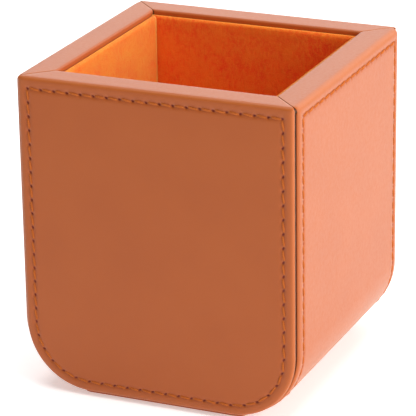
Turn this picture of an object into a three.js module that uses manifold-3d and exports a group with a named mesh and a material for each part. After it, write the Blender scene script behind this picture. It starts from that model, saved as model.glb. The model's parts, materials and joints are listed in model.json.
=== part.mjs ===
// A square pen cup: board walls in stitched leather covers, a suede lining and a base plate.
// Millimetres. +Z is up, the front faces -Y, and the origin is the centre of the underside.
import * as THREE from 'three';
import { mergeVertices } from 'three/addons/utils/BufferGeometryUtils.js';
import Module from 'manifold-3d';

const wasm = await Module();
wasm.setup();

// Driving dimensions of the whole cup
const WIDTH = 90;
const DEPTH = 88;
const HEIGHT = 100;
const CORNER_RADIUS = 21.7; // bottom corners, on the outside of the wrap
const GLUE = 0.15; // glue line between neighbouring pieces
const MITRE_GAP = 0.3; // between two leather edges cut at 45 degrees
const ARC_STEPS = 10; // flat faces round each bottom corner

// Sheet and board thicknesses
const LEATHER = 0.8;
const THIN_LEATHER = 0.6; // leather pared down where it is folded under a cover
const SUEDE = 0.8;
const BOARD = 6;
const BASE_BOARD = 9;
const PANEL_CARD = 0.6; // behind the front and back covers
const WRAP_CARD = 1.8; // behind the wrap
const LINING_CARD = 1;
const PLATE_LEATHER = 0.4;
const PLATE_CARD = 0.5;

// Edges, folds and rows of stitches
const PANEL_INSET = 1.25; // front and back covers, in from the outside of the wrap
const PANEL_RISE = 0.3; // and up from the underside of the wrap
const LIP_WIDTH = 8; // wrap leather folded over the front and back boards
const TURN_IN = 12; // rim leather folded down inside the opening
const LINING_DROP = 1.3; // top of the lining below the rim
const PANEL_STITCH_INSET = 3.2;
const PANEL_STITCH_DROP = 3.6;
const WRAP_STITCH_INSET = 3.2;
const WRAP_STITCH_DROP = 3.6;
const THREAD_WIDTH = 0.6;
const THREAD_THICKNESS = 0.35;

// Base plate
const PLATE_HALF_LENGTH = 27; // along X
const PLATE_HALF_WIDTH = 41.5; // along Y
const PLATE_END_RADIUS = 3;

// Levels and offsets that follow from the dimensions above
const PLATE_TOP = PLATE_LEATHER + GLUE + PLATE_CARD;
const WRAP_BOTTOM = PLATE_TOP + GLUE;
const FACE = DEPTH / 2;
const PANEL_DROP = PANEL_INSET - PANEL_RISE;
const PANEL_BACK = FACE - LEATHER - GLUE - PANEL_CARD;
const LIP_FRONT = PANEL_BACK - GLUE;
const LIP_BACK = LIP_FRONT - THIN_LEATHER;
const BOARD_FRONT = LIP_BACK - GLUE;
const BOARD_BACK = BOARD_FRONT - BOARD;
const OPENING_HALF_DEPTH = BOARD_BACK - GLUE - LEATHER;
const WRAP_CARD_INSET = LEATHER + GLUE;
const BOARD_INSET = WRAP_CARD_INSET + WRAP_CARD + GLUE;
const SIDE_BOARD_INNER = WIDTH / 2 - BOARD_INSET - BOARD;
const OPENING_HALF_WIDTH = SIDE_BOARD_INNER - GLUE - LEATHER;
const UNDER_RIM = HEIGHT - LEATHER - GLUE;
const BASE_BOARD_TOP = WRAP_BOTTOM + BOARD_INSET + BASE_BOARD;
const LINING_THICKNESS = LINING_CARD + GLUE + SUEDE;
const LINING_TOP = HEIGHT - LINING_DROP;
const FLOOR_CARD_TOP = BASE_BOARD_TOP + GLUE + LINING_CARD;
const BEYOND = 5; // how far a cutting solid runs past what it cuts

const leatherMaterial = new THREE.MeshStandardMaterial({ color: 0xb4602f, roughness: 0.5, metalness: 0 });
const suedeMaterial = new THREE.MeshStandardMaterial({ color: 0xe8702a, roughness: 0.95, metalness: 0 });
const threadMaterial = new THREE.MeshStandardMaterial({ color: 0xc06a34, roughness: 0.7, metalness: 0 });
const boardMaterial = new THREE.MeshStandardMaterial({ color: 0xa98763, roughness: 0.9, metalness: 0 });
const cardMaterial = new THREE.MeshStandardMaterial({ color: 0x9a978e, roughness: 0.95, metalness: 0 });

// Turns a closed three.js geometry into a solid that can be cut and joined.
function solid(geometry) {
  geometry.deleteAttribute('normal');
  geometry.deleteAttribute('uv');
  const merged = mergeVertices(geometry);
  return new wasm.Manifold(new wasm.Mesh({
    numProp: 3,
    vertProperties: merged.attributes.position.array,
    triVerts: Uint32Array.from(merged.index.array),
  }));
}

function block(x0, x1, y0, y1, z0, z1) {
  const geometry = new THREE.BoxGeometry(x1 - x0, y1 - y0, z1 - z0);
  geometry.translate((x0 + x1) / 2, (y0 + y1) / 2, (z0 + z1) / 2);
  return solid(geometry);
}

// The cup's outline in X and Z, this far inside the outside of the wrap: square at the top and
// round at both bottom corners. A drop moves its bottom down.
function cupOutline(inset, top, drop) {
  const half = WIDTH / 2 - inset;
  const bottom = WRAP_BOTTOM + inset - drop;
  const radius = CORNER_RADIUS - inset;
  const shape = new THREE.Shape();
  shape.moveTo(-half, top);
  shape.lineTo(-half, bottom + radius);
  shape.absarc(radius - half, bottom + radius, radius, Math.PI, 1.5 * Math.PI);
  shape.absarc(half - radius, bottom + radius, radius, 1.5 * Math.PI, 2 * Math.PI);
  shape.lineTo(half, top);
  shape.closePath();
  return shape;
}

// A solid with the cup's outline, between two places along Y.
function cupSlab(inset, top, y0, y1, drop = 0) {
  const geometry = new THREE.ExtrudeGeometry(cupOutline(inset, top, drop), {
    depth: y1 - y0,
    bevelEnabled: false,
    curveSegments: ARC_STEPS,
  });
  geometry.rotateX(Math.PI / 2);
  geometry.translate(0, y1, 0);
  return solid(geometry);
}

// The part of the rim that belongs to one side: it starts at the opening and widens outwards at
// 45 degrees, to the mitres at both ends.
function mitreZone(openingHalfLength, openingOffset, turn) {
  const reach = WIDTH;
  const half = openingHalfLength - MITRE_GAP / Math.SQRT2;
  const shape = new THREE.Shape();
  shape.moveTo(-half, -openingOffset);
  shape.lineTo(-half - reach, -openingOffset - reach);
  shape.lineTo(half + reach, -openingOffset - reach);
  shape.lineTo(half, -openingOffset);
  shape.closePath();
  const geometry = new THREE.ExtrudeGeometry(shape, { depth: HEIGHT + BEYOND, bevelEnabled: false });
  geometry.rotateZ(turn);
  return solid(geometry);
}

// A flat loop that follows the front cover's edge, for its thread or for the thread's channel.
function panelLoop(width, thickness) {
  const outer = PANEL_INSET + PANEL_STITCH_INSET - width / 2;
  const top = HEIGHT - PANEL_STITCH_DROP;
  const [y0, y1] = [-FACE - BEYOND, BEYOND - FACE];
  return cupSlab(outer, top + width / 2, -FACE, thickness - FACE, PANEL_DROP)
    .subtract(cupSlab(outer + width, top - width / 2, y0, y1, PANEL_DROP));
}

// A loop that follows the wrap's edges: along the front and back, and across the top of each side.
function wrapLoop(width, thickness) {
  const row = LIP_FRONT - WRAP_STITCH_INSET;
  const top = HEIGHT - WRAP_STITCH_DROP;
  const between = row - width / 2;
  return cupSlab(0, top + width / 2, -row - width / 2, row + width / 2)
    .subtract(cupSlab(thickness, HEIGHT + BEYOND, -DEPTH, DEPTH))
    .subtract(block(-WIDTH, WIDTH, -between, between, -BEYOND, top - width / 2));
}

// Leather of the front: a face with its edges folded back over the card, the front of the rim,
// and the turn-in inside the opening.
function frontCover() {
  const [inner, under] = [PANEL_INSET + LEATHER, HEIGHT - LEATHER];
  const tray = cupSlab(PANEL_INSET, HEIGHT, -FACE, -PANEL_BACK, PANEL_DROP)
    .subtract(cupSlab(inner, under, LEATHER - FACE, BEYOND - FACE, PANEL_DROP));
  const half = WIDTH / 2 - PANEL_INSET;
  const rim = block(-half, half, -FACE, -OPENING_HALF_DEPTH, HEIGHT - LEATHER, HEIGHT);
  const turnInBack = -OPENING_HALF_DEPTH - LEATHER;
  const turnIn = block(-half, half, turnInBack, -OPENING_HALF_DEPTH, HEIGHT - TURN_IN, HEIGHT);
  const zone = mitreZone(OPENING_HALF_WIDTH, OPENING_HALF_DEPTH, 0);
  return tray
    .add(rim.add(turnIn).intersect(zone))
    .subtract(panelLoop(THREAD_WIDTH + 2 * GLUE, THREAD_THICKNESS + GLUE));
}

function frontStiffener() {
  const inset = PANEL_INSET + LEATHER + GLUE;
  return cupSlab(inset, UNDER_RIM, LEATHER + GLUE - FACE, -PANEL_BACK, PANEL_DROP);
}

function frontBoard() {
  return cupSlab(BOARD_INSET, UNDER_RIM, -BOARD_FRONT, -BOARD_BACK);
}

// Leather of one side of the rim, with its turn-in inside the opening.
function wrapRim(turn) {
  const half = LIP_FRONT;
  const outer = WIDTH / 2;
  const rim = block(-half, half, -outer, -OPENING_HALF_WIDTH, HEIGHT - LEATHER, HEIGHT);
  const turnInBack = -OPENING_HALF_WIDTH - LEATHER;
  const turnIn = block(-half, half, turnInBack, -OPENING_HALF_WIDTH, HEIGHT - TURN_IN, HEIGHT);
  return rim.add(turnIn)
    .rotate(0, 0, THREE.MathUtils.radToDeg(turn))
    .intersect(mitreZone(OPENING_HALF_DEPTH, OPENING_HALF_WIDTH, turn));
}

// Leather of both sides and the bottom in one strip, folded over the front and back boards.
function wrapCover() {
  const shell = cupSlab(0, HEIGHT, -LIP_FRONT, LIP_FRONT)
    .subtract(cupSlab(LEATHER, HEIGHT + BEYOND, -DEPTH, DEPTH));
  const lips = cupSlab(0, UNDER_RIM, -LIP_FRONT, LIP_FRONT)
    .subtract(cupSlab(LEATHER, HEIGHT, -LIP_BACK, LIP_BACK))
    .subtract(cupSlab(LIP_WIDTH, HEIGHT + BEYOND, -DEPTH, DEPTH));
  return shell
    .add(lips)
    .add(wrapRim(Math.PI / 2))
    .add(wrapRim(-Math.PI / 2))
    .subtract(wrapLoop(THREAD_WIDTH + 2 * GLUE, THREAD_THICKNESS + GLUE));
}

function wrapStiffener() {
  return cupSlab(WRAP_CARD_INSET, UNDER_RIM, -BOARD_FRONT, BOARD_FRONT)
    .subtract(cupSlab(WRAP_CARD_INSET + WRAP_CARD, HEIGHT + BEYOND, -DEPTH, DEPTH));
}

// The side boards and the base board share the cup's outline and the space between the front
// and back boards.
function innerBoard(x0, x1, z0, z1) {
  const end = BOARD_BACK - GLUE;
  return cupSlab(BOARD_INSET, UNDER_RIM, -end, end).intersect(block(x0, x1, -end, end, z0, z1));
}

function liningCard(halfLength, offset) {
  const top = LINING_TOP - SUEDE - GLUE;
  return block(-halfLength, halfLength, -offset, LINING_CARD - offset, BASE_BOARD_TOP + GLUE, top);
}

// Suede on the inside of a lining card, folded over its top edge.
function liningSuede(halfLength, offset) {
  const inner = LINING_THICKNESS - offset;
  const bottom = BASE_BOARD_TOP + GLUE;
  return block(-halfLength, halfLength, inner - SUEDE, inner, bottom, LINING_TOP)
    .add(block(-halfLength, halfLength, -offset, inner, LINING_TOP - SUEDE, LINING_TOP));
}

// The base plate's outline, seen from above, with rounded corners.
function plateSlab(inset, z0, z1) {
  const halfX = PLATE_HALF_LENGTH - inset;
  const halfY = PLATE_HALF_WIDTH - inset;
  const radius = PLATE_END_RADIUS - inset;
  const shape = new THREE.Shape();
  shape.absarc(radius - halfX, radius - halfY, radius, Math.PI, 1.5 * Math.PI);
  shape.absarc(halfX - radius, radius - halfY, radius, 1.5 * Math.PI, 2 * Math.PI);
  shape.absarc(halfX - radius, halfY - radius, radius, 0, 0.5 * Math.PI);
  shape.absarc(radius - halfX, halfY - radius, radius, 0.5 * Math.PI, Math.PI);
  shape.closePath();
  const geometry = new THREE.ExtrudeGeometry(shape, {
    depth: z1 - z0,
    bevelEnabled: false,
    curveSegments: ARC_STEPS / 2,
  });
  geometry.translate(0, 0, z0);
  return solid(geometry);
}

function plateCover() {
  return plateSlab(0, 0, PLATE_TOP).subtract(plateSlab(PLATE_LEATHER, PLATE_LEATHER, PLATE_TOP + BEYOND));
}

function plateCard() {
  return plateSlab(PLATE_LEATHER + GLUE, PLATE_LEATHER + GLUE, PLATE_TOP);
}

// Makes a solid into a named mesh.
function piece(name, shape, material) {
  const mesh = shape.getMesh();
  const geometry = new THREE.BufferGeometry();
  geometry.setAttribute('position', new THREE.BufferAttribute(mesh.vertProperties, 3));
  geometry.setIndex(new THREE.BufferAttribute(mesh.triVerts, 1));
  geometry.computeVertexNormals();
  const result = new THREE.Mesh(geometry, material);
  result.name = name;
  return result;
}

// A stitched panel with the board behind it, made as the front one and turned into place.
function stitchedPanel(side, turn) {
  const group = new THREE.Group();
  group.add(
    piece(`${side}_cover`, frontCover(), leatherMaterial),
    piece(`${side}_stitching`, panelLoop(THREAD_WIDTH, THREAD_THICKNESS), threadMaterial),
    piece(`${side}_stiffener`, frontStiffener(), cardMaterial),
    piece(`${side}_board`, frontBoard(), boardMaterial),
  );
  group.rotation.z = turn;
  return group;
}

function wrap() {
  const group = new THREE.Group();
  group.add(
    piece('wrap_cover', wrapCover(), leatherMaterial),
    piece('wrap_stitching', wrapLoop(THREAD_WIDTH, THREAD_THICKNESS), threadMaterial),
    piece('wrap_stiffener', wrapStiffener(), cardMaterial),
  );
  return group;
}

function boards() {
  const outer = WIDTH / 2;
  const baseHalf = SIDE_BOARD_INNER - GLUE;
  const group = new THREE.Group();
  group.add(
    piece('left_board', innerBoard(-outer, -SIDE_BOARD_INNER, 0, HEIGHT), boardMaterial),
    piece('right_board', innerBoard(SIDE_BOARD_INNER, outer, 0, HEIGHT), boardMaterial),
    piece('base_board', innerBoard(-baseHalf, baseHalf, 0, BASE_BOARD_TOP), boardMaterial),
  );
  return group;
}

function liningWall(side, halfLength, offset, turn) {
  const group = new THREE.Group();
  group.add(
    piece(`lining_${side}_card`, liningCard(halfLength, offset), cardMaterial),
    piece(`lining_${side}_suede`, liningSuede(halfLength, offset), suedeMaterial),
  );
  group.rotation.z = turn;
  return group;
}

function lining() {
  const frontOffset = OPENING_HALF_DEPTH - GLUE;
  const sideOffset = OPENING_HALF_WIDTH - GLUE;
  const sideHalf = frontOffset - LINING_THICKNESS - GLUE;
  const floorHalf = sideOffset - LINING_THICKNESS - GLUE;
  const floor = (z0, z1) => block(-floorHalf, floorHalf, -sideHalf, sideHalf, z0, z1);
  const suedeBottom = FLOOR_CARD_TOP + GLUE;
  const group = new THREE.Group();
  group.add(
    liningWall('front', sideOffset, frontOffset, 0),
    liningWall('back', sideOffset, frontOffset, Math.PI),
    liningWall('right', sideHalf, sideOffset, Math.PI / 2),
    liningWall('left', sideHalf, sideOffset, -Math.PI / 2),
    piece('lining_floor_card', floor(BASE_BOARD_TOP + GLUE, FLOOR_CARD_TOP), cardMaterial),
    piece('lining_floor_suede', floor(suedeBottom, suedeBottom + SUEDE), suedeMaterial),
  );
  return group;
}

function basePlate() {
  const group = new THREE.Group();
  group.add(
    piece('base_plate_cover', plateCover(), leatherMaterial),
    piece('base_plate_card', plateCard(), cardMaterial),
  );
  return group;
}

const cup = new THREE.Group();
cup.add(
  stitchedPanel('front', 0),
  stitchedPanel('back', Math.PI),
  wrap(),
  boards(),
  lining(),
  basePlate(),
);

export default cup;
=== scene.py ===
"""A square pen cup in stitched tan leather with an orange suede lining.

The leather covers, the suede, the stitches and the base plate are modelled here around the
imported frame. Sizes are in millimetres up to the point where a mesh is made, and in the frame's
axes: +Z up, the front faces -Y, and the origin is the centre of the underside.
"""
import json
import math
import random

import bmesh
import bpy
import numpy as np
from mathutils import Matrix, Vector


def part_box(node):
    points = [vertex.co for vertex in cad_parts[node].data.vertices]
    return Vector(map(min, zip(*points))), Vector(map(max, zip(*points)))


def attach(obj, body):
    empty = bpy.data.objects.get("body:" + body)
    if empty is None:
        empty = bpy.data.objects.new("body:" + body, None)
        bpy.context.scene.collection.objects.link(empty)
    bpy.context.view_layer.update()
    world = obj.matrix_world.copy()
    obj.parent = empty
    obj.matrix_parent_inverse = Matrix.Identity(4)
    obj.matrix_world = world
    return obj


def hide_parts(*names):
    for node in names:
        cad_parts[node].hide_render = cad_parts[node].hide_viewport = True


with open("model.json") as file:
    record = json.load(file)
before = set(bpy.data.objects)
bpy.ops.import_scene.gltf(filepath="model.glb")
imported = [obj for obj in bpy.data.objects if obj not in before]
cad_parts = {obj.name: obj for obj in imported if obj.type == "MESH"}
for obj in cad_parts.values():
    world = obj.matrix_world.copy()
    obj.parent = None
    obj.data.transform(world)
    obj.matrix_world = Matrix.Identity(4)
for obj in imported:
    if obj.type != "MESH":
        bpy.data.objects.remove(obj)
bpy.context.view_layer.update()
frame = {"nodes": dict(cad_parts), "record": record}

MM = 0.001


def box_mm(node):
    low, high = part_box(node)
    return np.array(low) / MM, np.array(high) / MM


# Places that follow from the frame
FACE = -box_mm("front_cover")[0][1]  # outside of the front and back covers, from the middle
HEIGHT = box_mm("front_cover")[1][2]
PANEL_HALF = box_mm("front_cover")[1][0]
PANEL_BOTTOM = box_mm("front_cover")[0][2]
OPENING_Y = -box_mm("front_cover")[1][1]
PANEL_BACK = -box_mm("front_stiffener")[1][1]
WRAP_HALF = box_mm("wrap_cover")[1][0]
WRAP_BOTTOM = box_mm("wrap_cover")[0][2]
WRAP_EDGE = box_mm("wrap_cover")[1][1]
OPENING_X = box_mm("lining_front_suede")[1][0] + 0.15
CORNER_RADIUS = 21.7  # of the wrap's bottom corners
ARC_X = WRAP_HALF - CORNER_RADIUS
ARC_Z = WRAP_BOTTOM + CORNER_RADIUS
PANEL_ARC_Z = PANEL_BOTTOM + PANEL_HALF - ARC_X

# Leather, where it rolls and where it is sewn
PANEL_ROLL = 1.1  # radius of the rim's outer edge on the front and back covers
WRAP_ROLL = 2.1  # the same on the wrap
INNER_ROLL = 0.8  # radius of the rim's edge at the opening
MITRE_ROLL = 0.12  # share of the covers' edge roll that is left at the mitres
LEATHER = 0.6
MITRE_GAP = 0.12
STITCH_INSET = 3.2
STITCH_TOP = HEIGHT - 3.6
VALLEY_DEPTH = 0.24
VALLEY_WIDTH = 0.55
VALLEY_REACH = 0.45  # from the row to the next vertices on either side
HOLE_DEPTH = 0.6
PANEL_EDGE = ((2.3, 0.45), (0.8, 0.5))  # (width, depth) of a soft roll and of a tight one
WRAP_EDGE_ROLLS = ((2.6, 0.35), (0.7, 0.5))
CREVICE = ((5.0, 0.9), (3.0, 0.9), (1.6, 0.9), (1.3, 0.5), (1.05, 0.12))  # (inset, depth) of the lip
RIM_STEPS = 6
WORN_WIDTH = 0.8  # how far in from an edge the leather is lighter
NEAR = 1e-6

# Stitches, counted along each straight stretch and each round corner
UPRIGHT_STITCHES = 17
LEVEL_STITCHES = 11  # between the ends of the bottom corners
END_STITCHES = 4  # along the top, from there to either side
PANEL_CORNER_STITCHES = 6
WRAP_CORNER_STITCHES = 8
SIDE_TOP_STITCHES = 18
STEPS = (0.0, 0.13, 0.32, 0.5, 0.68, 0.87)  # vertices along one stitch; the needle hole is at 0
THREAD_RADIUS = 0.34
WRAP_THREAD_RADIUS = 0.42  # looser stitches that stand out more
LEAN = 0.75  # how far a stitch lies askew over its length

# Colours, in linear light
LEATHER_LIGHT = (0.475, 0.103, 0.014)
LEATHER_DARK = (0.45, 0.094, 0.012)
LEATHER_WORN = (0.58, 0.17, 0.045)
# Painted shade in the stitch valleys
LEATHER_CREASE_SHADE = (0.36, 0.075, 0.016)
# Painted shade in the needle holes
LEATHER_HOLE_SHADE = (0.26, 0.016, 0.002)
# Painted shade in the crevice between the wrap's lip and the covers
LEATHER_GROOVE_SHADE = (0.36, 0.050, 0.008)
SUEDE_LIGHT = (1.0, 0.20, 0.008)
SUEDE_DARK = (0.95, 0.050, 0.002)
SUEDE_FIBRE = (1.0, 0.25, 0.018)
THREAD_LIGHT = (0.66, 0.18, 0.030)
THREAD_DARK = (0.38, 0.07, 0.008)
FLOOR_GLOW = 0.42


# ---------------------------------------------------------------- meshes

class Skin:
    """A mesh put together from grids of points that are welded where they meet."""

    def __init__(self):
        self.points, self.faces, self.index = [], [], {}
        self.marks = {"hole": [], "crease_and_shade": [], "edge": [], "groove_shade": []}

    def vertex(self, point, marks):
        key = tuple(round(c * 500) for c in point)
        if key not in self.index:
            self.index[key] = len(self.points)
            self.points.append(tuple(c * MM for c in point))
            for name, values in self.marks.items():
                values.append(marks.get(name, 0.0))
        return self.index[key]

    def grid(self, rows):
        """rows is a list of rows of (point, marks), all of the same length."""
        numbers = [[self.vertex(p, m) for p, m in row] for row in rows]
        for upper, lower in zip(numbers, numbers[1:]):
            for k in range(len(upper) - 1):
                face = dict.fromkeys((upper[k], upper[k + 1], lower[k + 1], lower[k]))
                if len(face) > 2:
                    self.faces.append(tuple(face))

    def make(self, name):
        mesh = bpy.data.meshes.new(name)
        mesh.from_pydata(self.points, [], self.faces)
        for mark, values in self.marks.items():
            mesh.attributes.new(mark, "FLOAT", "POINT").data.foreach_set("value", values)
        shape = bmesh.new()
        shape.from_mesh(mesh)
        bmesh.ops.recalc_face_normals(shape, faces=shape.faces)
        shape.to_mesh(mesh)
        shape.free()
        mesh.shade_smooth()
        piece = bpy.data.objects.new(name, mesh)
        bpy.context.collection.objects.link(piece)
        return piece


def along(start, end, stitches):
    """(value, whether a needle hole is there) for each vertex along a row of stitches."""
    return [
        (start + (end - start) * (k + step) / stitches, step == 0.0)
        for k in range(stitches)
        for step in STEPS
    ]


def roll(t, rolls):
    """How far an edge with these rolls, each (width, depth), lies back at a distance t from it."""
    depths = [
        depth * (1 - math.sqrt(1 - ((width - t) / width) ** 2))
        for width, depth in rolls
        if t < width
    ]
    return sum(depths)


def valley(distance):
    return math.exp(-((distance / VALLEY_WIDTH) ** 2))


# ---------------------------------------------------------------- materials

def new_material(name, roughness, **sockets):
    material = bpy.data.materials.new(name)
    material.use_nodes = True
    nodes = material.node_tree.nodes
    shader = nodes["Principled BSDF"]
    shader.inputs["Roughness"].default_value = roughness
    for socket, value in sockets.items():
        shader.inputs[socket.replace("_", " ")].default_value = value
    return material, material.node_tree, shader


def node(tree, kind, **values):
    made = tree.nodes.new(kind)
    for name, value in values.items():
        if name in made.inputs:
            made.inputs[name].default_value = value
        else:
            setattr(made, name, value)
    return made


def coordinates(tree, scale):
    """The object's own coordinates in millimetres, stretched by scale."""
    source = node(tree, "ShaderNodeTexCoord")
    mapping = node(tree, "ShaderNodeMapping")
    mapping.inputs["Scale"].default_value = tuple(s / MM for s in scale)
    tree.links.new(source.outputs["Object"], mapping.inputs["Vector"])
    return mapping.outputs["Vector"]


def noise(tree, scale, detail, roughness=0.5, stretch=(1, 1, 1)):
    made = node(tree, "ShaderNodeTexNoise", Scale=scale, Detail=detail, Roughness=roughness)
    tree.links.new(coordinates(tree, stretch), made.inputs["Vector"])
    return made.outputs["Fac"]


def mixed(tree, factor, first, second):
    """A colour between two colours; each is a socket or an (r, g, b)."""
    mix = node(tree, "ShaderNodeMix", data_type="RGBA")
    for socket, value in ((mix.inputs[0], factor), (mix.inputs[6], first), (mix.inputs[7], second)):
        if isinstance(value, tuple):
            socket.default_value = (*value, 1)
        else:
            tree.links.new(value, socket)
    return mix.outputs[2]


def ramp(tree, value, low, high, out_low=0.0, out_high=1.0):
    made = node(tree, "ShaderNodeMapRange")
    for name, number in (
        ("From Min", low), ("From Max", high), ("To Min", out_low), ("To Max", out_high),
    ):
        made.inputs[name].default_value = number
    tree.links.new(value, made.inputs["Value"])
    return made.outputs["Result"]


def mark(tree, name):
    return node(tree, "ShaderNodeAttribute", attribute_name=name).outputs["Fac"]


def bumped(tree, shader, layers):
    """Adds bump layers, each (height, strength, distance in mm), from the coarsest on."""
    normal = None
    for height, strength, distance in layers:
        bump = node(tree, "ShaderNodeBump", Strength=strength, Distance=distance * MM)
        tree.links.new(height, bump.inputs["Height"])
        if normal is not None:
            tree.links.new(normal, bump.inputs["Normal"])
        normal = bump.outputs["Normal"]
    tree.links.new(normal, shader.inputs["Normal"])


def leather_material(name):
    """Smooth leather with a fine grain and faint clouding, with painted shade in the stitch creases,
    the needle holes and the crevice along the wrap's lip.
    """
    material, tree, shader = new_material(name, 0.42, IOR=1.4)
    shader.inputs["Sheen Weight"].default_value = 0.3
    shader.inputs["Sheen Roughness"].default_value = 0.35
    shader.inputs["Sheen Tint"].default_value = (0.95, 1.0, 0.86, 1)
    cloud = noise(tree, 0.05, 3)
    fine = noise(tree, 0.9, 4, 0.6)
    base = mixed(tree, ramp(tree, cloud, 0.3, 0.7), LEATHER_DARK, LEATHER_LIGHT)
    base = mixed(tree, ramp(tree, fine, 0.35, 0.75, 0.0, 0.35), base, LEATHER_LIGHT)
    base = mixed(tree, ramp(tree, mark(tree, "edge"), 0.0, 1.0, 0.0, 0.4), base, LEATHER_WORN)
    # Painted shade along the stitch valleys
    base = mixed(tree, ramp(tree, mark(tree, "crease_and_shade"), 0.0, 1.0, 0.0, 0.45), base, LEATHER_CREASE_SHADE)
    # Painted shade in the crevice along the wrap's lip
    base = mixed(tree, ramp(tree, mark(tree, "groove_shade"), 0.0, 1.0), base, LEATHER_GROOVE_SHADE)
    # Painted shade in the needle holes
    base = mixed(tree, ramp(tree, mark(tree, "hole"), 0.05, 0.5), base, LEATHER_HOLE_SHADE)
    tree.links.new(base, shader.inputs["Base Color"])
    tree.links.new(ramp(tree, fine, 0.3, 0.7, 0.38, 0.5), shader.inputs["Roughness"])
    cells = node(tree, "ShaderNodeTexVoronoi", Scale=1.6)
    tree.links.new(coordinates(tree, (1, 1, 1)), cells.inputs["Vector"])
    bumped(tree, shader, (
        (cloud, 0.06, 1.0),
        (cells.outputs["Distance"], 0.10, 0.08),
        (fine, 0.16, 0.06),
    ))
    return material


def suede_material(name):
    """Brushed suede: short fibres in patches that lie different ways."""
    material, tree, shader = new_material(name, 0.95, IOR=1.4)
    shader.inputs["Sheen Weight"].default_value = 0.9
    shader.inputs["Sheen Roughness"].default_value = 0.45
    shader.inputs["Sheen Tint"].default_value = (1.0, 0.86, 0.2, 1)
    patches = noise(tree, 0.11, 5, 0.62)
    fibre = noise(tree, 1.0, 5, 0.8, (1.0, 1.0, 0.6))
    base = mixed(tree, ramp(tree, patches, 0.32, 0.68), SUEDE_DARK, SUEDE_LIGHT)
    base = mixed(tree, ramp(tree, fibre, 0.40, 0.62, 0.0, 0.8), base, SUEDE_FIBRE)
    tree.links.new(base, shader.inputs["Base Color"])
    bumped(tree, shader, ((patches, 0.4, 0.5), (fibre, 0.9, 0.5)))
    return material


def thread_material(name):
    """Sewing thread with its twist."""
    material, tree, shader = new_material(name, 0.8, IOR=1.3)
    twist = node(tree, "ShaderNodeTexWave", Scale=1.1, Distortion=1.5)
    twist.bands_direction = "DIAGONAL"
    tree.links.new(coordinates(tree, (1, 1, 1)), twist.inputs["Vector"])
    base = mixed(tree, twist.outputs["Fac"], THREAD_DARK, THREAD_LIGHT)
    tree.links.new(base, shader.inputs["Base Color"])
    bumped(tree, shader, ((twist.outputs["Fac"], 0.6, 0.1),))
    return material


def board_material(name, dark, light, stretch):
    """Raw fibreboard or card: matted fibres, stretched along the sheet."""
    material, tree, shader = new_material(name, 0.9, IOR=1.4)
    fibres = noise(tree, 0.8, 6, 0.7, stretch)
    tree.links.new(mixed(tree, ramp(tree, fibres, 0.3, 0.7), dark, light), shader.inputs["Base Color"])
    bumped(tree, shader, ((fibres, 0.5, 0.2),))
    return material


def floor_material():
    """A pale studio table: nearly white, with the faintest unevenness."""
    material, tree, shader = new_material("pale_floor", 0.6, IOR=1.4)
    unevenness = noise(tree, 0.01, 3)
    base = mixed(tree, unevenness, (0.93, 0.93, 0.93), (0.96, 0.96, 0.96))
    tree.links.new(base, shader.inputs["Base Color"])
    shader.inputs["Specular IOR Level"].default_value = 0.1
    shader.inputs["Emission Color"].default_value = (1, 1, 1, 1)
    shader.inputs["Emission Strength"].default_value = FLOOR_GLOW
    return material


# ---------------------------------------------------------------- leather covers

def over_the_rim(outside, opening, radius):
    """The path of leather from the outside of a wall over the rim to the turn-in.

    Each place is (distance from the middle, height, outward normal, share of the edge roll kept).
    """
    path = []
    for k in range(RIM_STEPS + 1):
        a = math.radians(90 * k / RIM_STEPS)
        keep = 1 - (1 - MITRE_ROLL) * k / RIM_STEPS
        c, s = math.cos(a), math.sin(a)
        path.append((outside - radius * (1 - c), HEIGHT - radius * (1 - s), (c, s), keep))
    inner = opening + INNER_ROLL
    for k in range(1, RIM_STEPS):
        across = outside - radius + (inner - outside + radius) * k / RIM_STEPS
        path.append((across, HEIGHT, (0, 1), MITRE_ROLL))
    for k in range(RIM_STEPS + 1):
        a = math.radians(90 * k / RIM_STEPS)
        c, s = math.cos(a), math.sin(a)
        path.append((inner - INNER_ROLL * s, HEIGHT - INNER_ROLL * (1 - c), (-s, c), MITRE_ROLL))
    for drop in (3, 6, 9, 12):
        path.append((opening, HEIGHT - drop, (-1, 0), MITRE_ROLL))
    return path


def edge_columns(rolls):
    """(distance in from the edge, depth behind the face, no hole) over a rolled edge."""
    places = [rolls[0][0] * (1 - math.cos(math.radians(a))) for a in (0, 12, 24, 36, 50, 65, 80)]
    return [(t, roll(t, rolls), False) for t in places]


def panel_point(x, z, t, depth, in_edge_row, in_top_row=False):
    """A point on the front cover, t in from its edge and depth behind its face.

    A needle hole is there if it is in the edge row or the top row and lies on that row.
    """
    crease_and_shade = valley(min(t - STITCH_INSET, STITCH_TOP - z))
    edge_hole = in_edge_row and abs(t - STITCH_INSET) < NEAR and z <= STITCH_TOP + NEAR
    top_hole = in_top_row and abs(z - STITCH_TOP) < NEAR and t >= STITCH_INSET - NEAR
    hole = edge_hole or top_hole
    depth += VALLEY_DEPTH * crease_and_shade + (HOLE_DEPTH if hole else 0)
    # The crease mark paints shade along the stitch valley, and the hole mark paints shade into the
    # needle holes
    marks = {"hole": float(hole), "crease_and_shade": crease_and_shade, "edge": math.exp(-t / WORN_WIDTH)}
    return (x, depth - FACE, z), marks


def panel_columns():
    """(distance in from the side, depth, whether a hole is there), up to where the corner ends."""
    columns = [(0.0, FACE - PANEL_BACK, False)] + edge_columns(PANEL_EDGE)
    columns.append((STITCH_INSET - VALLEY_REACH, 0.0, False))
    ends = along(STITCH_INSET, PANEL_HALF - ARC_X, END_STITCHES)
    columns += [(t, 0.0, hole) for t, hole in ends]
    columns.append((PANEL_HALF - ARC_X, 0.0, True))
    return columns


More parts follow.
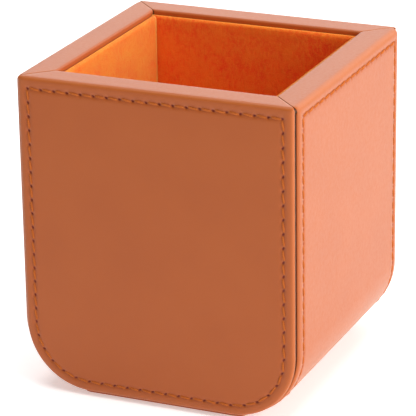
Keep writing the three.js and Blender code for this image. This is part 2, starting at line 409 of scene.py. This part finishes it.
def panel_side(side, columns):
    """Rows down one side of the front cover and round its lower corner."""
    rows = []
    for t, depth, top_hole in columns:
        x = side * (PANEL_HALF - t)
        row = [
            panel_point(x, z, t, depth, hole, top_hole)
            for z, hole in along(STITCH_TOP, PANEL_ARC_Z, UPRIGHT_STITCHES)
        ]
        radius = PANEL_HALF - ARC_X - t
        for angle, hole in along(0.0, 90.0, PANEL_CORNER_STITCHES):
            a = math.radians(angle)
            x = side * (ARC_X + radius * math.cos(a))
            row.append(panel_point(x, PANEL_ARC_Z - radius * math.sin(a), t, depth, hole))
        row.append(panel_point(side * ARC_X, PANEL_ARC_Z - radius, t, depth, True))
        rows.append(row)
    return rows


def panel_top(columns, across):
    """Rows from the turn-in over the rim and down to the top row of stitches."""
    whole = [(t - PANEL_HALF, depth, hole) for t, depth, hole in columns]
    whole += [(x, 0.0, hole) for x, hole in across[1:]]
    whole += [(PANEL_HALF - t, depth, hole) for t, depth, hole in reversed(columns)]
    rows = []
    for distance, height, normal, keep in over_the_rim(FACE, OPENING_Y, PANEL_ROLL):
        half = min(PANEL_HALF, OPENING_X + distance - OPENING_Y - MITRE_GAP)
        row = []
        for x, depth, _ in whole:
            back = depth * keep
            y = -(distance - back * normal[0])
            worn = max(math.exp(-(PANEL_HALF - abs(x)) / WORN_WIDTH), 2 * normal[0] * normal[1])
            point = (x * half / PANEL_HALF, y, height - back * normal[1])
            row.append((point, {"edge": worn}))
        rows.append(row)
    rows.reverse()
    for z in (HEIGHT - PANEL_ROLL - 0.7, STITCH_TOP + VALLEY_REACH, STITCH_TOP):
        rows.append([
            panel_point(x, z, PANEL_HALF - abs(x), depth, False, hole) for x, depth, hole in whole
        ])
    return rows


def front_skin():
    """The front cover: face, rolled sides and bottom, rim and turn-in."""
    columns = panel_columns()
    across = along(-ARC_X, ARC_X, LEVEL_STITCHES)
    down = along(STITCH_TOP, PANEL_ARC_Z, UPRIGHT_STITCHES)
    skin = Skin()
    for side in (-1, 1):
        skin.grid(panel_side(side, columns))
    skin.grid([
        [
            panel_point(x, PANEL_BOTTOM + t, t, depth, hole)
            for x, hole in across + [(ARC_X, True)]
        ]
        for t, depth, _ in columns
    ])
    skin.grid([
        [
            panel_point(x, z, PANEL_HALF - abs(x), 0.0, False, hole)
            for x, hole in across + [(ARC_X, True)]
        ]
        for z, _ in down + [(PANEL_ARC_Z, True)]
    ])
    skin.grid(panel_top(columns, across))
    return skin


def wrap_outline(where, value, depth):
    """The (x, z) at this place round the wrap's outline, this far inside its outside."""
    if where == "bottom":
        return value, WRAP_BOTTOM + depth
    side = 1 if where.startswith("right") else -1
    if where.endswith("wall"):
        return side * (WRAP_HALF - depth), value
    a = math.radians(value)
    radius = CORNER_RADIUS - depth
    return side * (ARC_X + radius * math.cos(a)), ARC_Z - radius * math.sin(a)


def wrap_point(station, y, depth, in_top_row):
    """A point on the wrap; a station is (where, value, whether a hole of the edge row is there)."""
    where, value, hole = station
    from_edge = WRAP_EDGE - abs(y)
    inside = from_edge - STITCH_INSET
    level_with_row = False
    if where.endswith("wall"):
        inside = min(inside, STITCH_TOP - value)
        level_with_row = abs(value - STITCH_TOP) < NEAR
        hole = hole and value <= STITCH_TOP + NEAR
    edge_hole = hole and abs(from_edge - STITCH_INSET) < NEAR
    top_hole = in_top_row and level_with_row and from_edge >= STITCH_INSET - NEAR
    hole = edge_hole or top_hole
    crease_and_shade = valley(inside)
    depth += VALLEY_DEPTH * crease_and_shade + (HOLE_DEPTH if hole else 0)
    x, z = wrap_outline(where, value, depth)
    # The crease mark paints shade along the stitch valley, and the hole mark paints shade into the
    # needle holes
    marks = {"hole": float(hole), "crease_and_shade": crease_and_shade, "edge": math.exp(-from_edge / WORN_WIDTH)}
    return (x, y, z), marks


def wrap_columns():
    """(place along Y, depth, whether a hole is there) across the wrap."""
    edge = edge_columns(WRAP_EDGE_ROLLS) + [(STITCH_INSET - VALLEY_REACH, 0.0, False)]
    start = STITCH_INSET - WRAP_EDGE
    columns = [(t - WRAP_EDGE, depth, hole) for t, depth, hole in edge]
    columns += [(y, 0.0, hole) for y, hole in along(start, -start, SIDE_TOP_STITCHES)]
    columns.append((-start, 0.0, True))
    columns += [(WRAP_EDGE - t, depth, hole) for t, depth, hole in reversed(edge)]
    return columns


def wrap_stations():
    """The stations from the top of the right side down, along the bottom and up the left side."""
    above = (HEIGHT - WRAP_ROLL, HEIGHT - WRAP_ROLL - 0.5, STITCH_TOP + VALLEY_REACH)
    sides = {}
    for name in ("right", "left"):
        down = [(f"{name}_wall", z, False) for z in above]
        down += [(f"{name}_wall", z, hole) for z, hole in along(STITCH_TOP, ARC_Z, UPRIGHT_STITCHES)]
        down += [(f"{name}_corner", a, hole) for a, hole in along(0.0, 90.0, WRAP_CORNER_STITCHES)]
        sides[name] = down
    bottom = [("bottom", x, hole) for x, hole in along(ARC_X, -ARC_X, LEVEL_STITCHES)]
    bottom.append(("bottom", -ARC_X, True))
    return sides["right"] + bottom + sides["left"][::-1]


def wrap_lip(side, stations):
    """Rows across the lip along the wrap's edge, which dips behind the panel."""
    rows = []
    for station in stations:
        row = []
        for depth, sunk in CREVICE:
            x, z = wrap_outline(station[0], station[1], depth)
            # The groove mark paints shade into the crevice, darker where the lip sinks deeper
            row.append(((x, side * (WRAP_EDGE - sunk), z), {"groove_shade": min(1.0, 2 * sunk)}))
        row.append(wrap_point(station, side * WRAP_EDGE, roll(0.0, WRAP_EDGE_ROLLS), False))
        rows.append(row)
    return rows


def wrap_rim(side, columns):
    """Rows over the rim on one side, down to the turn-in."""
    rows = []
    for distance, height, normal, keep in over_the_rim(WRAP_HALF, OPENING_X, WRAP_ROLL):
        half = min(WRAP_EDGE, OPENING_Y + distance - OPENING_X - MITRE_GAP)
        row = []
        for y, depth, _ in columns:
            back = depth * keep
            x = side * (distance - back * normal[0])
            worn = max(math.exp((abs(y) - WRAP_EDGE) / WORN_WIDTH), 2 * normal[0] * normal[1])
            point = (x, y * half / WRAP_EDGE, height - back * normal[1])
            row.append((point, {"edge": worn}))
        rows.append(row)
    return rows


def wrap_skin():
    """The wrap: both sides and the bottom, its rolled edges, the sides of the rim and turn-ins."""
    columns = wrap_columns()
    stations = wrap_stations()
    skin = Skin()
    skin.grid([[wrap_point(s, y, depth, hole) for y, depth, hole in columns] for s in stations])
    for side in (-1, 1):
        skin.grid(wrap_lip(side, stations))
    for side in (-1, 1):
        skin.grid(wrap_rim(side, columns))
    return skin


def thicken(piece, thickness):
    """Gives a skin its thickness, on the inside."""
    solidify = piece.modifiers.new("thickness", "SOLIDIFY")
    solidify.thickness = thickness * MM
    solidify.offset = -1
    solidify.use_even_offset = False
    return piece


# ---------------------------------------------------------------- stitches

def stitch_tube(skin, start, end, out, lean, radius, rng):
    """One stitch: it comes out of a needle hole, lies on the leather and goes into the next."""
    along_it = end - start
    length = np.linalg.norm(along_it)
    along_it = along_it / length
    across_it = np.cross(out, along_it)
    lean *= 1 + 0.25 * rng.uniform(-1, 1)
    rings = []
    for f, rise, size in STITCH_SHAPE:
        centre = start + along_it * length * f
        rise *= radius / THREAD_RADIUS * (1 + 0.1 * rng.uniform(-1, 1))
        centre = centre + out * rise + across_it * lean * (0.5 - f)
        rings.append((centre, radius * size))
    rows = []
    for centre, r in rings:
        row = []
        for k in range(9):
            a = 2 * math.pi * (k % 8) / 8
            offset = across_it * math.cos(a) * r + out * math.sin(a) * r * 0.8
            row.append((tuple(centre + offset), {}))
        rows.append(row)
    for row in (rows[0], rows[-1]):
        centre = np.mean([np.array(p) for p, _ in row[:-1]], axis=0)
        skin.grid([[(tuple(centre), {})] * 9, row])
    skin.grid(rows)


# (place along the stitch, height over the leather, relative thickness)
STITCH_SHAPE = (
    (0.05, -0.60, 0.6),
    (0.11, -0.30, 0.75),
    (0.19, 0.00, 0.9),
    (0.32, 0.11, 1.05),
    (0.50, 0.14, 1.08),
    (0.68, 0.11, 1.05),
    (0.81, 0.00, 0.9),
    (0.89, -0.30, 0.75),
    (0.95, -0.60, 0.6),
)


def sew(name, holes, upright_lean, level_lean, radius, seed):
    """Stitches between neighbouring holes, each hole a (point, outward normal).

    A stitch lies askew by so many millimetres, in an upright row and in a level one.
    """
    rng = random.Random(seed)
    skin = Skin()
    for (a, out_a), (b, out_b) in zip(holes, holes[1:] + holes[:1]):
        start, end = np.array(a), np.array(b)
        out = np.array(out_a) + np.array(out_b)
        out = out / np.linalg.norm(out)
        upright = ((end - start)[2] / np.linalg.norm(end - start)) ** 2
        lean = upright * upright_lean + (1 - upright) * level_lean
        stitch_tube(skin, start, end, out, lean, radius, rng)
    return skin.make(name)


def holes_of(start, end, count):
    return [value for value, hole in along(start, end, count) if hole]


def panel_holes():
    """The needle holes of the front cover, in order round the loop."""
    y = VALLEY_DEPTH - FACE
    side = PANEL_HALF - STITCH_INSET
    radius = side - ARC_X
    points = [(-side, z) for z in holes_of(STITCH_TOP, PANEL_ARC_Z, UPRIGHT_STITCHES)]
    for angle in holes_of(0.0, 90.0, PANEL_CORNER_STITCHES):
        a = math.radians(angle)
        points.append((-ARC_X - radius * math.cos(a), PANEL_ARC_Z - radius * math.sin(a)))
    points += [(x, PANEL_BOTTOM + STITCH_INSET) for x in holes_of(-ARC_X, ARC_X, LEVEL_STITCHES)]
    for angle in holes_of(0.0, 90.0, PANEL_CORNER_STITCHES):
        a = math.radians(90 - angle)
        points.append((ARC_X + radius * math.cos(a), PANEL_ARC_Z - radius * math.sin(a)))
    points += [(side, z) for z in holes_of(PANEL_ARC_Z, STITCH_TOP, UPRIGHT_STITCHES)]
    points += [(x, STITCH_TOP) for x in holes_of(side, ARC_X, END_STITCHES)]
    points += [(x, STITCH_TOP) for x in holes_of(ARC_X, -ARC_X, LEVEL_STITCHES)]
    points += [(x, STITCH_TOP) for x in holes_of(-ARC_X, -side, END_STITCHES)]
    return [((x, y, z), (0, -1, 0)) for x, z in points]


def wrap_row(y):
    """The needle holes along one edge of the wrap, in the same order as its stations."""
    radius = WRAP_HALF - ARC_X - VALLEY_DEPTH
    side = WRAP_HALF - VALLEY_DEPTH
    holes = [((side, y, z), (1, 0, 0)) for z in holes_of(STITCH_TOP, ARC_Z, UPRIGHT_STITCHES)]
    for angle in holes_of(0.0, 90.0, WRAP_CORNER_STITCHES):
        c, s = math.cos(math.radians(angle)), math.sin(math.radians(angle))
        holes.append(((ARC_X + radius * c, y, ARC_Z - radius * s), (c, 0, -s)))
    bottom = WRAP_BOTTOM + VALLEY_DEPTH
    holes += [((x, y, bottom), (0, 0, -1)) for x in holes_of(ARC_X, -ARC_X, LEVEL_STITCHES)]
    for angle in holes_of(0.0, 90.0, WRAP_CORNER_STITCHES):
        c, s = math.cos(math.radians(90 - angle)), math.sin(math.radians(90 - angle))
        holes.append(((-ARC_X - radius * c, y, ARC_Z - radius * s), (-c, 0, -s)))
    holes += [((-side, y, z), (-1, 0, 0)) for z in holes_of(ARC_Z, STITCH_TOP, UPRIGHT_STITCHES)]
    return holes


def wrap_holes():
    """The needle holes of the wrap, in order round both edges and both sides' tops."""
    row = WRAP_EDGE - STITCH_INSET
    side = WRAP_HALF - VALLEY_DEPTH
    forward = holes_of(row, -row, SIDE_TOP_STITCHES)[1:]
    backward = holes_of(-row, row, SIDE_TOP_STITCHES) + [row]
    left = [((-side, y, STITCH_TOP), (-1, 0, 0)) for y in backward]
    right = [((side, y, STITCH_TOP), (1, 0, 0)) for y in forward]
    return wrap_row(-row) + left + wrap_row(row)[::-1] + right


# ---------------------------------------------------------------- lining and base plate

def lining_skin(half_length, outer, inner, bottom, top, seed):
    """A suede wall with a soft fold over its top edge, standing at -Y."""
    fold = (outer - inner) / 2
    profile = [(outer, bottom), (outer, (bottom + top) / 2), (outer, top - fold)]
    for k in range(1, 8):
        a = math.radians(180 * k / 8)
        profile.append((outer - fold + fold * math.cos(a), top - fold + fold * math.sin(a)))
    count = 28
    for k in range(count + 1):
        f = (k / count) ** 1.3
        profile.append((inner, top - fold + (bottom - top + fold) * f))
    profile.append(profile[0])
    rng = random.Random(seed)
    waves = [(rng.uniform(0.05, 0.16), rng.uniform(0.03, 0.09), rng.uniform(0, 6)) for _ in range(4)]
    rows = []
    steps = 60
    for k in range(steps + 1):
        x = half_length * (2 * k / steps - 1)
        row = []
        for y, z in profile:
            swell = sum(math.sin(a * x + b * z + c) for a, b, c in waves) * 0.03
            row.append(((x, -(y + swell * (y <= inner + 1e-6)), z), {}))
        rows.append(row)
    skin = Skin()
    skin.grid(rows)
    for row in (rows[0], rows[-1]):
        centre = tuple(np.mean([p for p, _ in row[:-1]], axis=0))
        skin.grid([[(centre, {})] * len(row), row])
    return skin


def pad_skin(half_x, half_y, bottom, top, corner, edge):
    """A flat pad with a rounded outline and rolled edges, closed all round."""
    levels = [(edge, bottom), (0.3 * edge, bottom + 0.3 * edge), (0.0, bottom + edge)]
    levels += [(0.0, top - edge), (0.3 * edge, top - 0.3 * edge), (edge, top)]
    rows = []
    for inset, z in levels:
        row = []
        radius = max(corner - inset, 0.05)
        for quarter in range(4):
            for k in range(9):
                a = math.radians(90 * quarter + 90 * k / 8)
                cx = (half_x - inset - radius) * (1 if quarter in (0, 3) else -1)
                cy = (half_y - inset - radius) * (1 if quarter in (0, 1) else -1)
                row.append(((cx + radius * math.cos(a), cy + radius * math.sin(a), z), {}))
        row.append(row[0])
        rows.append(row)
    skin = Skin()
    skin.grid(rows)
    for row in (rows[0], rows[-1]):
        z = row[0][0][2]
        inner = [[((x * f, y * f, z), {}) for (x, y, _), _ in row] for f in (0.66, 0.33)]
        fan = [row] + inner + [[((0, 0, z), {})] * len(row)]
        skin.grid(fan)
    return skin


# ---------------------------------------------------------------- putting the cup together

def place(piece, material, replaced):
    piece.data.materials.append(material)
    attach(piece, "root")
    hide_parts(replaced)
    return piece


def turned(piece, angle):
    piece.data.transform(Matrix.Rotation(angle, 4, "Z"))
    return piece


def make_covers(leather):
    for name, angle in (("front", 0.0), ("back", math.pi)):
        panel = turned(thicken(front_skin().make(f"{name}_leather"), LEATHER), angle)
        place(panel, leather, f"{name}_cover")
    wrap = thicken(wrap_skin().make("wrap_leather"), LEATHER)
    place(wrap, leather, "wrap_cover")


def make_stitches(thread):
    for name, angle, seed in (("front", 0.0, 3), ("back", math.pi, 4)):
        piece = sew(f"{name}_thread", panel_holes(), -LEAN, LEAN, THREAD_RADIUS, seed)
        turned(piece, angle)
        place(piece, thread, f"{name}_stitching")
    piece = sew("wrap_thread", wrap_holes(), -LEAN, -LEAN, WRAP_THREAD_RADIUS, 5)
    place(piece, thread, "wrap_stitching")


def make_lining(suede):
    for seed, (name, angle) in enumerate((
        ("front", 0.0), ("right", math.pi / 2), ("back", math.pi), ("left", -math.pi / 2),
    )):
        low, high = box_mm(f"lining_{name}_suede")
        axis = 1 if name in ("front", "back") else 0
        reach = sorted((abs(low[axis]), abs(high[axis])))
        skin = lining_skin(high[1 - axis], reach[1], reach[0], low[2], high[2], seed)
        wall = turned(skin.make(f"{name}_lining"), angle)
        place(wall, suede, f"lining_{name}_suede")
    low, high = box_mm("lining_floor_suede")
    floor = pad_skin(high[0], high[1], low[2], high[2], 0.6, 0.3).make("floor_lining")
    place(floor, suede, "lining_floor_suede")


def make_base_plate(leather):
    low, high = box_mm("base_plate_cover")
    plate = pad_skin(high[0], high[1], low[2], high[2], 3.0, 0.45).make("base_plate_leather")
    place(plate, leather, "base_plate_cover")


def finish_hidden_nodes():
    board = board_material("raw_fibreboard", (0.30, 0.19, 0.10), (0.44, 0.30, 0.17), (1, 1, 2))
    card = board_material("grey_card", (0.28, 0.27, 0.24), (0.40, 0.39, 0.35), (2, 1, 1))
    for row in frame["record"]["subparts"]:
        material = {"board": board, "card": card}.get(row["material_slot"])
        if material is not None:
            mesh = frame["nodes"][row["node"]].data
            mesh.materials.clear()
            mesh.materials.append(material)


# ---------------------------------------------------------------- studio

CAMERA_TARGET = (-2.05, 0.0, 48.8)
CAMERA_DISTANCE = 814.4
CAMERA_YAW, CAMERA_PITCH, CAMERA_ROLL = 23.53, -20.24, 0.87
CAMERA_LENS = 227.3


def make_camera():
    data = bpy.data.cameras.new("camera")
    data.lens = CAMERA_LENS
    data.sensor_width = 36
    data.clip_start = 0.01
    data.clip_end = 20
    camera = bpy.data.objects.new("camera", data)
    bpy.context.collection.objects.link(camera)
    turn = Matrix.Rotation(math.radians(CAMERA_YAW), 3, "Z")
    tilt = Matrix.Rotation(math.radians(CAMERA_PITCH), 3, "X")
    lean = Matrix.Rotation(math.radians(CAMERA_ROLL), 3, "Y")
    axes = turn @ tilt @ lean
    right, forward, up = axes.col[0], axes.col[1], axes.col[2]
    camera.rotation_mode = "QUATERNION"
    camera.rotation_quaternion = Matrix((right, up, -forward)).transposed().to_quaternion()
    camera.location = (Vector(CAMERA_TARGET) - forward * CAMERA_DISTANCE) * MM
    bpy.context.scene.camera = camera


def area_light(name, place_mm, target_mm, size, power):
    data = bpy.data.lights.new(name, "AREA")
    data.shape = "RECTANGLE"
    data.size, data.size_y = size[0] * MM, size[1] * MM
    data.energy = power
    light = bpy.data.objects.new(name, data)
    light.location = Vector(place_mm) * MM
    direction = Vector(target_mm) - Vector(place_mm)
    light.rotation_mode = "QUATERNION"
    light.rotation_quaternion = direction.to_track_quat("-Z", "Y")
    bpy.context.collection.objects.link(light)


# (name, place, size, power in watts)
LIGHTS = (
    ("right_key", (900, -150, 420), (700, 700), 8.4),
    ("back_wall", (0, 1100, 600), (1800, 900), 9.8),
    ("overhead", (0, 0, 1100), (900, 900), 8.8),
)


def make_studio():
    mesh = bpy.data.meshes.new("floor")
    half = 4.0
    level = -0.1 * MM  # just clear of the base plate, so that the two faces don't coincide
    corners = [(-half, -half, level), (half, -half, level), (half, half, level), (-half, half, level)]
    mesh.from_pydata(corners, [], [(0, 1, 2, 3)])
    mesh.materials.append(floor_material())
    floor = bpy.data.objects.new("floor", mesh)
    bpy.context.collection.objects.link(floor)
    world = bpy.data.worlds.new("studio")
    bpy.context.scene.world = world
    world.use_nodes = True
    background = world.node_tree.nodes["Background"]
    background.inputs["Color"].default_value = (1, 1, 1, 1)
    background.inputs["Strength"].default_value = 0.12
    for name, place_mm, size, power in LIGHTS:
        area_light(name, place_mm, (0, 0, 50), size, power)
    scene = bpy.context.scene
    scene.view_settings.view_transform = "Standard"
    scene.view_settings.look = "None"


make_camera()
make_studio()
leather = leather_material("tan_leather")
make_covers(leather)
make_stitches(thread_material("tan_thread"))
make_lining(suede_material("orange_suede"))
make_base_plate(leather)
finish_hidden_nodes()
